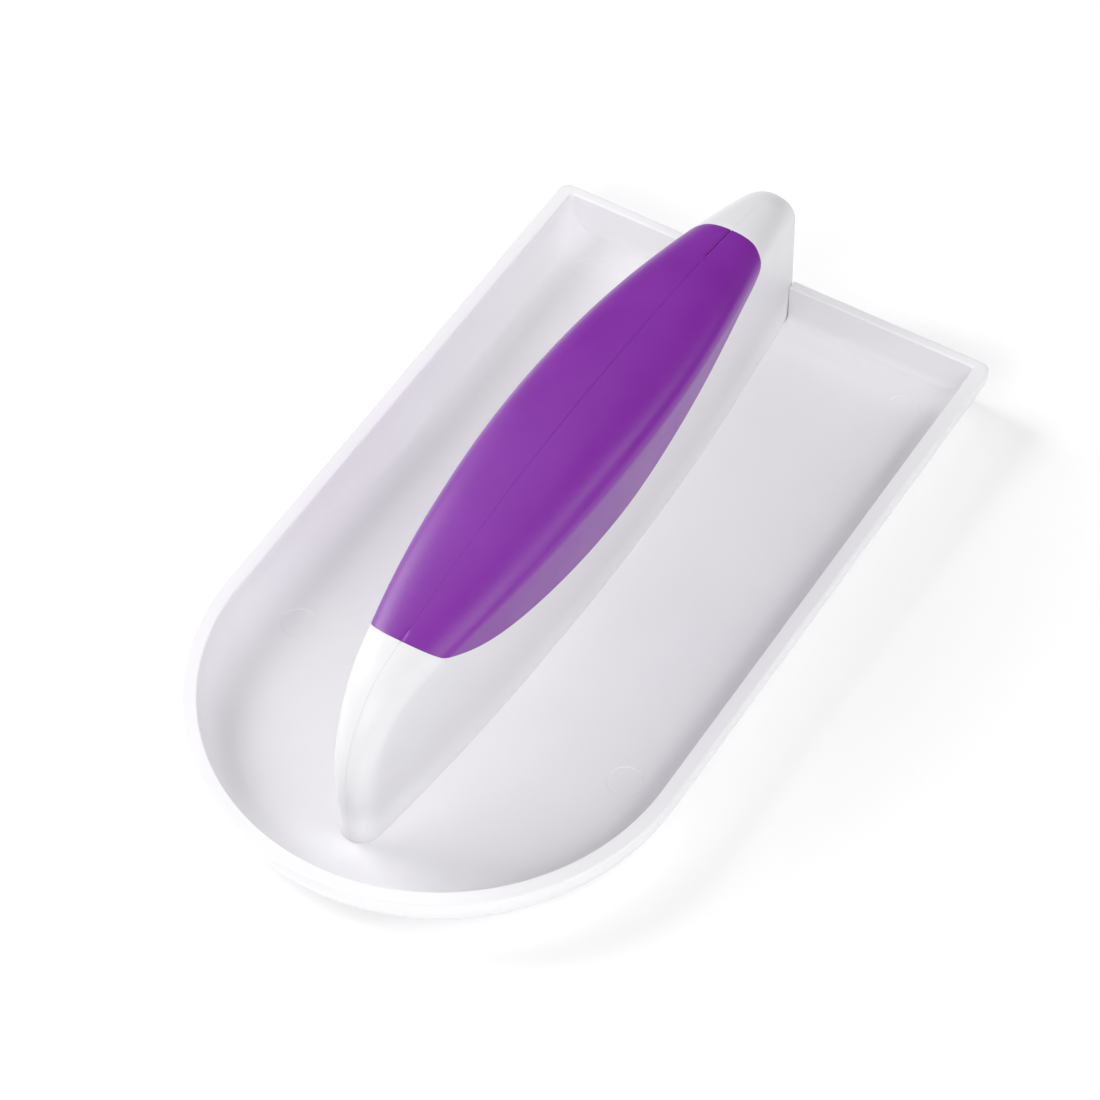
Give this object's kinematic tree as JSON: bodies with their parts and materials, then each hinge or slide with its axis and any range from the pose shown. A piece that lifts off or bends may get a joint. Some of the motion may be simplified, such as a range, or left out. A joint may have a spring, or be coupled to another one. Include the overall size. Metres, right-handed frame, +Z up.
{
  "type": "fondant smoother",
  "caption": "Hand tool for smoothing cake icing: a shallow D-shaped tray with a flat working underside and an upright blade handle with a soft grip.",
  "frame": {"origin": "centre of the bounding box at the level of the flat working underside", "axes": "+Y along the handle towards the square end of the base, -Y towards the round nose, +Z up from the working face"},
  "size_m": [0.085, 0.1472, 0.0378],
  "materials": {
    "base_plastic": "smooth satin white moulded plastic",
    "handle_plastic": "smooth satin white moulded plastic",
    "soft_grip": "soft-touch purple skin with a broad sheen"
  },
  "bodies": {
    "root": {"base_tray": "base_plastic", "handle_shell_left": "handle_plastic", "handle_shell_right": "handle_plastic", "grip_left": "soft_grip", "grip_right": "soft_grip"}
  },
  "joints": []
}
